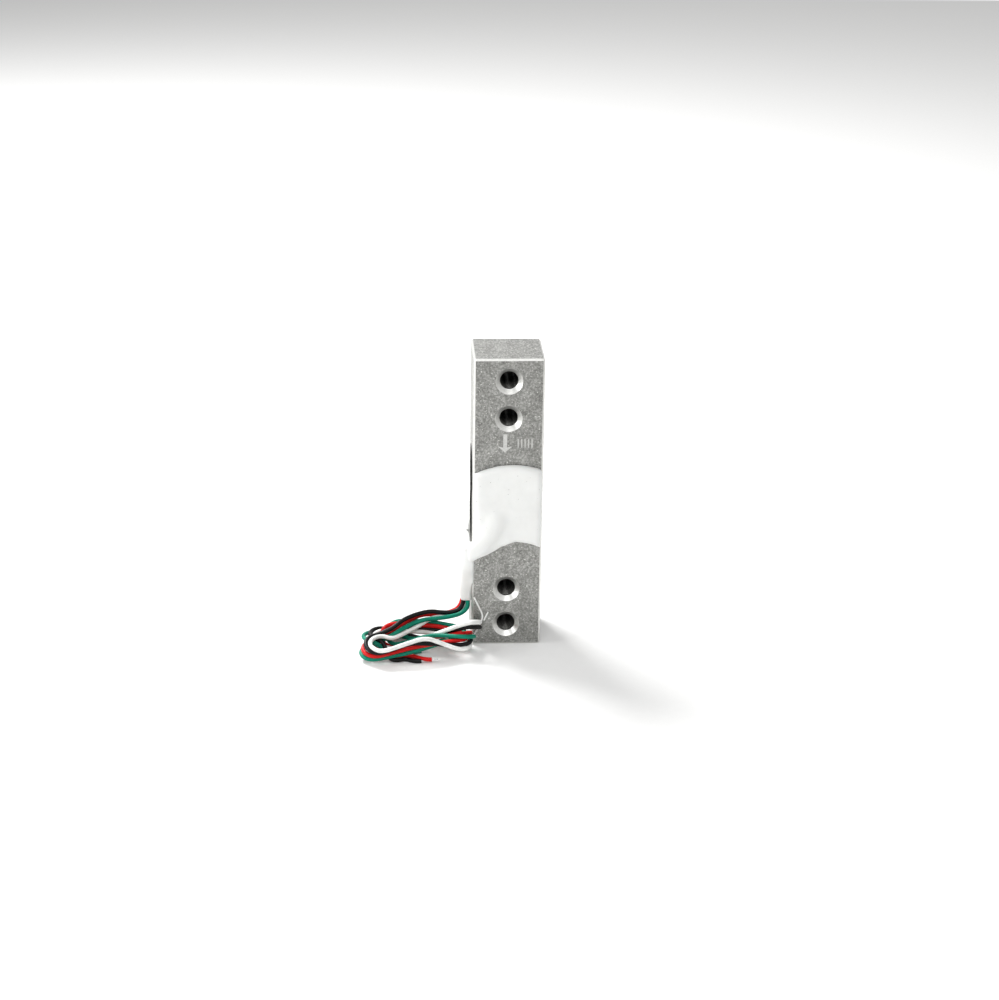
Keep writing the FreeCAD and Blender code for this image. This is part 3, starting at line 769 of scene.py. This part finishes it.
# A dab that closes the corner between the rear pad and the side bead.
CORNER_DAB = [(0.9, 12.95, 20.6), (0.3, 13.0, 19.6), (-0.15, 12.9, 18.7), (-0.2, 12.4, 17.9)]
DAB_RADIUS = 0.5

# Threads that the nozzle drew as it left the bead, along the front face.
DRAWN_THREADS = [
    [(0.43, -0.08, 9.57), (1.35, -0.1, 7.6), (2.22, -0.1, 5.73), (1.4, -0.1, 3.7), (0.41, -0.08, 1.9)],
    [(3.04, -0.08, 6.52), (2.72, -0.1, 5.9), (2.32, -0.08, 4.92)],
]

# Specks lie where the skin looks this squarely to the front. The sizes are shares.
SPECK_FACING = -0.8
SPECK_SMALLEST, SPECK_LARGEST = (0.4, 0.4, 0.2), (1.3, 1.0, 0.4)


def off_the_bar(point):
    """How far a point stands off the bar's four long sides."""
    return max(abs(point.x) - BAR_HIGH.x, abs(point.y) - BAR_HIGH.y)


def round_curve(name, radius, facets):
    """A round curve with closed ends and no spline yet."""
    curve = bpy.data.curves.new(name, "CURVE")
    curve.dimensions = "3D"
    curve.bevel_depth = radius
    curve.bevel_resolution = facets
    curve.use_fill_caps = True
    return curve


def add_spline(curve, points):
    """A smooth open spline with these control points, from end to end."""
    spline = curve.splines.new("NURBS")
    spline.points.add(len(points) - 1)
    for spot, point in zip(spline.points, points):
        spot.co = (*point, 1.0)
    spline.order_u = 3
    spline.use_endpoint_u = True


def threads(routes, radius):
    """Closed round threads along routes, as one plain mesh."""
    curve = round_curve("threads", radius, 2)
    for route in routes:
        add_spline(curve, [from_foot(point) for point in route])
    return with_modifiers(curve)


def coated_routes(node):
    """The part of each lead's route that runs through a sealant solid."""
    first, last = COATED_POINTS[node]
    return [LEAD_ROUTES[colour][first:last] for colour in COLOURS]


def with_leads_covered(node):
    """A sealant solid, joined to a thick coat round the leads that run through it."""
    mesh = merged_copy(node)
    if node in COATED_POINTS:
        coats = threads(coated_routes(node), COAT_RADIUS * MM)
        with editing(mesh) as shape:
            shape.from_mesh(coats)
    return mesh


def blend_coats(mesh, node):
    """Smooth the skin round the leads until their coats run into it."""
    spots = [from_foot(point) for route in coated_routes(node) for point in route]
    with editing(mesh) as shape:
        near = [
            vert
            for vert in shape.verts
            if off_the_bar(vert.co) > BLEND_OFF_BAR * MM
            and min((vert.co - spot).length for spot in spots) < BLEND_REACH * MM
        ]
        for _ in range(BLEND_TURNS):
            bmesh.ops.smooth_vert(
                shape, verts=near, factor=0.5, use_axis_x=True, use_axis_y=True, use_axis_z=True
            )


def poured_skin(node, settings):
    """A sealant solid as it sets: edges drawn round, a gently waved skin, and its
    underside left flat on the metal."""

    def add(holder):
        remesh = holder.modifiers.new("skin", "REMESH")
        remesh.mode = "VOXEL"
        remesh.voxel_size = settings.voxel
        smooth = holder.modifiers.new("smooth", "SMOOTH")
        smooth.factor = 0.5
        smooth.iterations = SKIN_SMOOTHING

    mesh = with_modifiers(with_leads_covered(node), add)
    if node in COATED_POINTS:
        blend_coats(mesh, node)
    normals = [vert.normal.copy() for vert in mesh.vertices]
    for vert, normal in zip(mesh.vertices, normals):
        free = min(1.0, max(0.0, off_the_bar(vert.co) / (FREE_SKIN * MM)))
        broad = noise.noise(vert.co / (BROAD_WAVE * MM))
        fine = noise.noise(vert.co / (FINE_WAVE * MM))
        wave = settings.ripple * (broad + FINE_SHARE * fine)
        vert.co += normal * free * (wave + SKIN_SWELL * MM)
    mesh.shade_smooth()
    return mesh


def specks_tree(material):
    """Small flat specks scattered on the skin that looks to the front."""
    tree, add, source, output = geometry_tree("Dirt specks", ["Density", "Size"], ["Seed"])
    normal = {0: add("GeometryNodeInputNormal")}
    facing = add_node(tree, "ShaderNodeSeparateXYZ", normal).outputs["Y"]
    outward = add("FunctionNodeCompare", {0: facing, 1: SPECK_FACING}, operation="LESS_THAN")
    scatter = {name: source[name] for name in ("Density", "Seed")}
    scatter.update(Mesh=source["Geometry"], Selection=outward)
    points = add_node(tree, "GeometryNodeDistributePointsOnFaces", scatter).outputs
    flake = add("GeometryNodeMeshIcoSphere", {"Radius": source["Size"], "Subdivisions": 2})
    limits = {0: SPECK_SMALLEST, 1: SPECK_LARGEST, "Seed": source["Seed"]}
    sizes = add("FunctionNodeRandomValue", limits, data_type="FLOAT_VECTOR")
    laid = {name: points[name] for name in ("Points", "Rotation")}
    laid.update(Instance=flake, Scale=sizes)
    return end_tree(tree, add, output, add("GeometryNodeInstanceOnPoints", laid), material)


class LOADCELL_OT_sealant(bpy.types.Operator):
    """Pour the silicone over the gauges and down the side, with its specks of dirt"""

    bl_idname = "loadcell.sealant"
    bl_label = "Sealant"

    def execute(self, context):
        settings = context.scene.loadcell_sealant
        silicone = cured_silicone(settings)
        for node in ("sealant_front", "sealant_rear", "sealant_side"):
            skin = poured_skin(node, settings)
            new_piece(node + "_skin", skin, silicone, "silicone", node)
        drawn = threads(DRAWN_THREADS, settings.thread / 2)
        new_piece("sealant_threads", drawn, silicone, "silicone")
        dab = threads([CORNER_DAB], DAB_RADIUS * MM)
        new_piece("sealant_corner", dab, silicone, "silicone")
        dirt = plain_film("dirt", "#3A3836", "#6E6A66", 0.1 * MM, 0.8, 1.5)
        source = bpy.data.objects["sealant_front_skin"].data.copy()
        sizes = {"Density": settings.speck_density, "Seed": settings.seed, "Size": settings.speck_size}
        specks = run_tree(source, specks_tree(dirt), sizes)
        new_piece("sealant_specks", specks, dirt, "silicone")
        return {"FINISHED"}


# ---- gauges, boards and fine wires ----
def inner_finishes():
    """Each kind of inner piece, by the start of its node's name, with its finish."""
    return {
        "gauge_carrier": plain_film("polyimide_film", "#9A6A1C", "#B98228", 0.6 * MM, 0.3, 1.7),
        "gauge_grid": bright_metal("constantan_foil", "#B9A48C", "#CDBBA4", 0.3 * MM, 0.3),
        "terminal_board": glass_epoxy(),
        "copper_pads": bright_metal("bare_copper", "#B4683F", "#D08A5E", 0.4 * MM, 0.28),
        "solder_joints": bright_metal("solder", "#B8B9BA", "#D8D9DA", 0.3 * MM, 0.25),
        "jumper_wires": bright_metal("enamelled_wire", "#9C4A22", "#BC6A36", 0.5 * MM, 0.2),
        "crossover_wires": bright_metal("enamelled_pair", "#9C4A22", "#BC6A36", 0.5 * MM, 0.2),
        "lead_conductors": bright_metal("tinned_strands", "#BFC0C1", "#DADBDC", 0.2 * MM, 0.3),
    }


class LOADCELL_OT_gauges(bpy.types.Operator):
    """Give the gauges, boards, solder and fine wires under the sealant their finishes"""

    bl_idname = "loadcell.gauges"
    bl_label = "Gauges and boards"

    def execute(self, context):
        finishes = inner_finishes()
        for name, node in frame["nodes"].items():
            for start, material in finishes.items():
                if name.startswith(start):
                    node.data.materials.clear()
                    node.data.materials.append(material)
        return {"FINISHED"}


# ---- leads in their hank ----
# The bare strands start inside the insulation, by this share of their bare length.
STRAND_OVERLAP = 0.3
STRAND_TWIST = 2.2
STRAND_STEPS = 12


def fold_points(end, side, lean):
    """Points round one end of the hank, towards where its lean says the return lies."""
    across = Vector((0, *lean)).normalized()
    points = []
    for step in range(FOLD_STEPS + 1):
        angle = math.pi * (step / FOLD_STEPS - 0.5)
        outward = Vector((side * FOLD_RADIUS * (math.cos(angle) - 1), 0, 0))
        points.append(end + outward + across * FOLD_RADIUS * math.sin(angle))
    return points


def pass_points(start, middle, finish):
    """Points of a pass from fold to fold that swings by way of its middle."""
    swing = middle - (start + finish) / 2
    return [start.lerp(finish, share) + swing * math.sin(math.pi * share) ** 2 for share in PASS_SHARES]


def coil_points(stations):
    """Points of every turn: a fold at each end of the hank and a pass between folds."""
    ends = [Vector(station) for station in stations[0::2]]
    middles = [Vector(station) for station in stations[1::2]]
    folds = [fold_points(end, 1 if index % 2 else -1, FOLD_LEANS[index]) for index, end in enumerate(ends)]
    points = list(folds[0])
    for middle, last, fold in zip(middles, folds, folds[1:]):
        points += pass_points(last[-1], middle, fold[0]) + fold
    return points


def lead_points(colour):
    """A whole lead: its route, its turns in the hank, and its free end."""
    route = [Vector(point) for point in LEAD_ROUTES[colour]]
    tail = [Vector(point) for point in TAIL_ROUTES[colour]]
    return route + coil_points(COIL_STATIONS[colour]) + tail


def spline_weights(count):
    """Share of each control point in each sample of a smooth spline."""
    rows = []
    for index in range(1, count - 1):
        before = 1.0 if index == 1 else 0.5
        after = 1.0 if index == count - 2 else 0.5
        for step in range(SAMPLES_PER_POINT):
            t = step / SAMPLES_PER_POINT
            first, third = (1 - t) ** 2, t * t
            row = numpy.zeros(count)
            row[index - 1] = first * before
            row[index] = first * (1 - before) + 2 * t * (1 - t) + third * (1 - after)
            row[index + 1] = third * after
            rows.append(row)
    return numpy.array(rows)


def sample_weights(counts):
    """Share of every lead's points in every sample, and each sample's lead and place."""
    blocks = [spline_weights(count) for count in counts]
    weights = numpy.zeros((sum(len(block) for block in blocks), sum(counts)), "float32")
    lead_of, place_of = [], []
    row = column = 0
    for number, block in enumerate(blocks):
        weights[row : row + len(block), column : column + counts[number]] = block
        lead_of += [number] * len(block)
        place_of += range(len(block))
        row += len(block)
        column += counts[number]
    return weights, numpy.array(lead_of), numpy.array(place_of)


def sample_pushes(points, diameter, neighbours):
    """How far each sample has to go, off the other samples, the floor and the bar."""
    apart = points[:, None, :] - points[None, :, :]
    distance = numpy.sqrt((apart ** 2).sum(axis=2)) + NO_DISTANCE
    depth = numpy.where(neighbours, 0.0, numpy.maximum(0.0, diameter - distance))
    push = 0.5 * (apart / distance[:, :, None] * depth[:, :, None]).sum(axis=1)
    touching = numpy.maximum(1.0, (depth > 0).sum(axis=1) / 2)
    push /= touching[:, None]
    push[:, 2] += numpy.maximum(0.0, diameter / 2 - points[:, 2])
    inside = numpy.minimum(points[:, 0], points[:, 1]) + diameter / 2
    by_side = (inside > 0) & (points[:, 0] < points[:, 1])
    by_front = (inside > 0) & (points[:, 0] >= points[:, 1])
    push[by_side, 0] -= inside[by_side]
    push[by_front, 1] -= inside[by_front]
    return push


def settle(leads, diameter):
    """Move the loose parts of the leads, in millimetres, off each other, the bar and the
    floor, turn by turn. A few overlaps stay."""
    counts = [len(points) for points in leads]
    ends = numpy.cumsum([0] + counts)
    start = numpy.array([tuple(point) for points in leads for point in points], "float32")
    weights, lead_of, place_of = sample_weights(counts)
    loose = numpy.ones((len(start), 1), "float32")
    for first in ends[:-1]:
        loose[first : first + FIXED_POINTS] = 0
    gap = numpy.abs(place_of[:, None] - place_of[None, :])
    neighbours = (lead_of[:, None] == lead_of[None, :]) & (gap <= NEAR_SAMPLES)
    share = weights.sum(axis=0)
    moved = numpy.zeros_like(start)
    for _ in range(SETTLE_TURNS):
        push = sample_pushes(weights @ (start + moved), diameter, neighbours)
        moved += SETTLE_PACE * ((weights.T @ push) / share[:, None] * loose)
        middle = moved[1:-1] + SETTLE_EVENING * (moved[:-2] + moved[2:] - 2 * moved[1:-1])
        moved[1:-1] = numpy.where(loose[1:-1] > 0, middle, 0.0)
    settled = start + moved
    settled[:, 2] = numpy.maximum(settled[:, 2], diameter / 2)
    return [[Vector(point) for point in settled[low:high]] for low, high in zip(ends, ends[1:])]


def round_cord(name, points, diameter):
    """A round cord along a smooth spline with these control points."""
    curve = round_curve(name, diameter / 2, 5)
    curve.resolution_u = 6
    add_spline(curve, points)
    return curve


def spline_length(piece):
    """Length of a cord's centreline."""
    curve = piece.data.copy()
    curve.bevel_depth = 0
    line = with_modifiers(curve)
    return sum(
        (line.vertices[a].co - line.vertices[b].co).length
        for a, b in (edge.vertices for edge in line.edges)
    )


def strands_tree(material):
    """A conductor of thin strands laid round a middle one, with a slow twist."""
    sizes = ["Length", "Strand", "Twist"]
    tree, add, source, output = geometry_tree("Twisted strands", sizes, ["Strands"])
    top = add("ShaderNodeCombineXYZ", {"Z": source["Length"]})
    line = add("GeometryNodeCurvePrimitiveLine", {"End": top})
    steps = add("GeometryNodeResampleCurve", {"Curve": line, "Count": STRAND_STEPS})
    spread = {"Vertices": source["Strands"], "Radius": source["Strand"]}
    places = add_node(tree, "GeometryNodeJoinGeometry")
    tree.links.new(add("GeometryNodeMeshCircle", spread), places.inputs[0])
    tree.links.new(add("GeometryNodeMeshLine", {"Count": 1}), places.inputs[0])
    copies = add("GeometryNodeInstanceOnPoints", {"Points": places.outputs[0], "Instance": steps})
    real = add("GeometryNodeRealizeInstances", {"Geometry": copies})
    angle = maths(tree, "MULTIPLY", add("GeometryNodeSplineParameter"), source["Twist"])
    turn = {"Vector": add("GeometryNodeInputPosition"), "Angle": angle}
    turned = add("ShaderNodeVectorRotate", turn, rotation_type="Z_AXIS")
    laid = add("GeometryNodeSetPosition", {"Geometry": real, "Position": turned})
    half = maths(tree, "MULTIPLY", source["Strand"], 0.5)
    section = add("GeometryNodeCurvePrimitiveCircle", {"Resolution": 8, "Radius": half})
    wire = {"Curve": laid, "Profile Curve": section, "Fill Caps": True}
    return end_tree(tree, add, output, add("GeometryNodeCurveToMesh", wire), material)


def bare_strands(settings, tree, end, before):
    """The conductor that shows past a lead's cut end, in line with the lead."""
    sizes = {
        "Length": settings.bare * (1 + STRAND_OVERLAP),
        "Strand": settings.strand,
        "Strands": settings.strands,
        "Twist": STRAND_TWIST,
    }
    mesh = run_tree(bpy.data.meshes.new("start"), tree, sizes)
    run = end - before
    run.z = 0
    turn = Vector((0, 0, 1)).rotation_difference(run.normalized())
    start = end - run.normalized() * settings.bare * STRAND_OVERLAP
    mesh.transform(Matrix.Translation(start) @ turn.to_matrix().to_4x4())
    return mesh


class LOADCELL_OT_leads(bpy.types.Operator):
    """Lay the four leads from the solder, through the bead, into their loose hank"""

    bl_idname = "loadcell.leads"
    bl_label = "Leads"

    def execute(self, context):
        settings = context.scene.loadcell_leads
        tin = bright_metal("tinned_copper", "#BFC0C1", "#DADBDC", 0.2 * MM, 0.3)
        tree = strands_tree(tin)
        laid = settle([lead_points(colour) for colour in COLOURS], settings.diameter / MM)
        for colour, lead in zip(COLOURS, laid):
            insulation = pvc_insulation(colour, getattr(settings, colour))
            points = [from_foot(point) for point in lead]
            nodes = ["lead_" + colour, "lead_tail_" + colour]
            if colour == "green":
                nodes.append("lead_hank")
            cord = round_cord("lead_wire_" + colour, points, settings.diameter)
            piece = new_piece(cord.name, cord, insulation, "pvc_" + colour, *nodes)
            strands = bare_strands(settings, tree, points[-1], points[-2])
            bare = new_piece("strands_" + colour, strands, tin, "tinned_copper", "bare_end_" + colour)
            tuple(from_foot(LEAD_ROUTES[colour][EXIT_POINT]))
            round(spline_length(piece), 4)
        return {"FINISHED"}


# ---- stage ----
CAMERA_AZIMUTH = math.radians(-3.54)
CAMERA_ELEVATION = math.radians(21.105)
CAMERA_ROLL = math.radians(0.855)
CAMERA_DISTANCE = 399.92 * MM
CAMERA_AIM = Vector((0, 0, 27.6 * MM))
CAMERA_LENS = 78.48
CAMERA_SHIFT = (-0.0061, -0.0073)
CAMERA_REACH = (0.01, 20)

# Each soft box's place and side, in metres. They all face the middle of the bar.
LAMPS = {
    "key": ((-0.22, 0.3, 0.42), 0.22),
    "left": ((-0.5, -0.1, 0.22), 0.3),
    "front": ((-0.05, -0.5, 0.6), 0.45),
}


def place_camera(scene):
    """A camera a little above and to the left of the front face, level but for a small roll."""
    level = math.cos(CAMERA_ELEVATION)
    x, y = math.sin(CAMERA_AZIMUTH) * level, -math.cos(CAMERA_AZIMUTH) * level
    back = Vector((x, y, math.sin(CAMERA_ELEVATION)))
    data = bpy.data.cameras.new("camera")
    data.lens = CAMERA_LENS
    data.shift_x, data.shift_y = CAMERA_SHIFT
    data.clip_start, data.clip_end = CAMERA_REACH
    camera = put("camera", data)
    camera.rotation_mode = "QUATERNION"
    camera.location = CAMERA_AIM + back * CAMERA_DISTANCE
    roll = Quaternion((0, 0, 1), CAMERA_ROLL)
    camera.rotation_quaternion = (-back).to_track_quat("-Z", "Y") @ roll
    scene.camera = camera


def soft_lamp(name, place, size, power):
    """A square soft box that faces the middle of the bar."""
    data = bpy.data.lights.new(name, "AREA")
    data.shape = "SQUARE"
    data.size = size
    data.energy = power
    lamp = put(name, data)
    lamp.location = place
    aim = Vector((0, 0, BAR_MIDDLE)) - Vector(place)
    lamp.rotation_euler = aim.to_track_quat("-Z", "Y").to_euler()


def white_room(scene, strength):
    """White where the camera or a reflection looks past the floor, and a softer light
    on everything."""
    scene.world = bpy.data.worlds.new("room")
    scene.world.use_nodes = True
    tree = scene.world.node_tree
    tree.nodes.clear()
    lit, seen = (
        add_node(tree, "ShaderNodeBackground", {"Color": WHITE, "Strength": value}).outputs[0]
        for value in (strength, 1.0)
    )
    mixed = add_node(tree, "ShaderNodeMixShader", {0: seen_directly(tree), 1: lit, 2: seen})
    add_node(tree, "ShaderNodeOutputWorld", {"Surface": mixed.outputs[0]})


class LOADCELL_OT_stage(bpy.types.Operator):
    """Set the paper floor, the lamps, the room and the camera"""

    bl_idname = "loadcell.stage"
    bl_label = "Stage"

    def execute(self, context):
        scene = context.scene
        settings = scene.loadcell_stage
        half = settings.floor_size / 2
        mesh = bpy.data.meshes.new("floor")
        mesh.from_pydata(
            [(-half, -half, 0), (half, -half, 0), (half, half, 0), (-half, half, 0)],
            [],
            [(0, 1, 2, 3)],
        )
        mesh.materials.append(matt_paper(settings.floor))
        floor = put("floor", mesh)
        for name, (place, size) in LAMPS.items():
            soft_lamp(name, place, size, getattr(settings, name + "_power"))
        white_room(scene, settings.room)
        place_camera(scene)
        scene.view_settings.view_transform = "Standard"
        return {"FINISHED"}


# ---- panel and registration ----
class LOADCELL_PT_panel(bpy.types.Panel):
    bl_label = "Load cell"
    bl_idname = "LOADCELL_PT_panel"
    bl_space_type = "VIEW_3D"
    bl_region_type = "UI"
    bl_category = "Load cell"

    def draw(self, context):
        for operator, group in STEPS:
            box = self.layout.box()
            box.operator(operator.bl_idname)
            if group:
                settings = getattr(context.scene, group)
                for name in type(settings).__annotations__:
                    box.prop(settings, name)


GROUPS = {
    "loadcell_bar": LoadCellBar,
    "loadcell_sealant": LoadCellSealant,
    "loadcell_leads": LoadCellLeads,
    "loadcell_stage": LoadCellStage,
}
STEPS = (
    (LOADCELL_OT_bar, "loadcell_bar"),
    (LOADCELL_OT_marks, None),
    (LOADCELL_OT_gauges, None),
    (LOADCELL_OT_sealant, "loadcell_sealant"),
    (LOADCELL_OT_leads, "loadcell_leads"),
    (LOADCELL_OT_stage, "loadcell_stage"),
)
register_classes, unregister_classes = bpy.utils.register_classes_factory(
    (*GROUPS.values(), *(operator for operator, _ in STEPS), LOADCELL_PT_panel)
)


def register():
    register_classes()
    for name, group in GROUPS.items():
        setattr(bpy.types.Scene, name, bpy.props.PointerProperty(type=group))


def unregister():
    for name in GROUPS:
        delattr(bpy.types.Scene, name)
    unregister_classes()


def main():
    """Make every piece and the stage."""
    register()
    bpy.ops.loadcell.bar()
    bpy.ops.loadcell.marks()
    bpy.ops.loadcell.gauges()
    bpy.ops.loadcell.sealant()
    bpy.ops.loadcell.leads()
    bpy.ops.loadcell.stage()


if __name__ == "__main__":
    main()
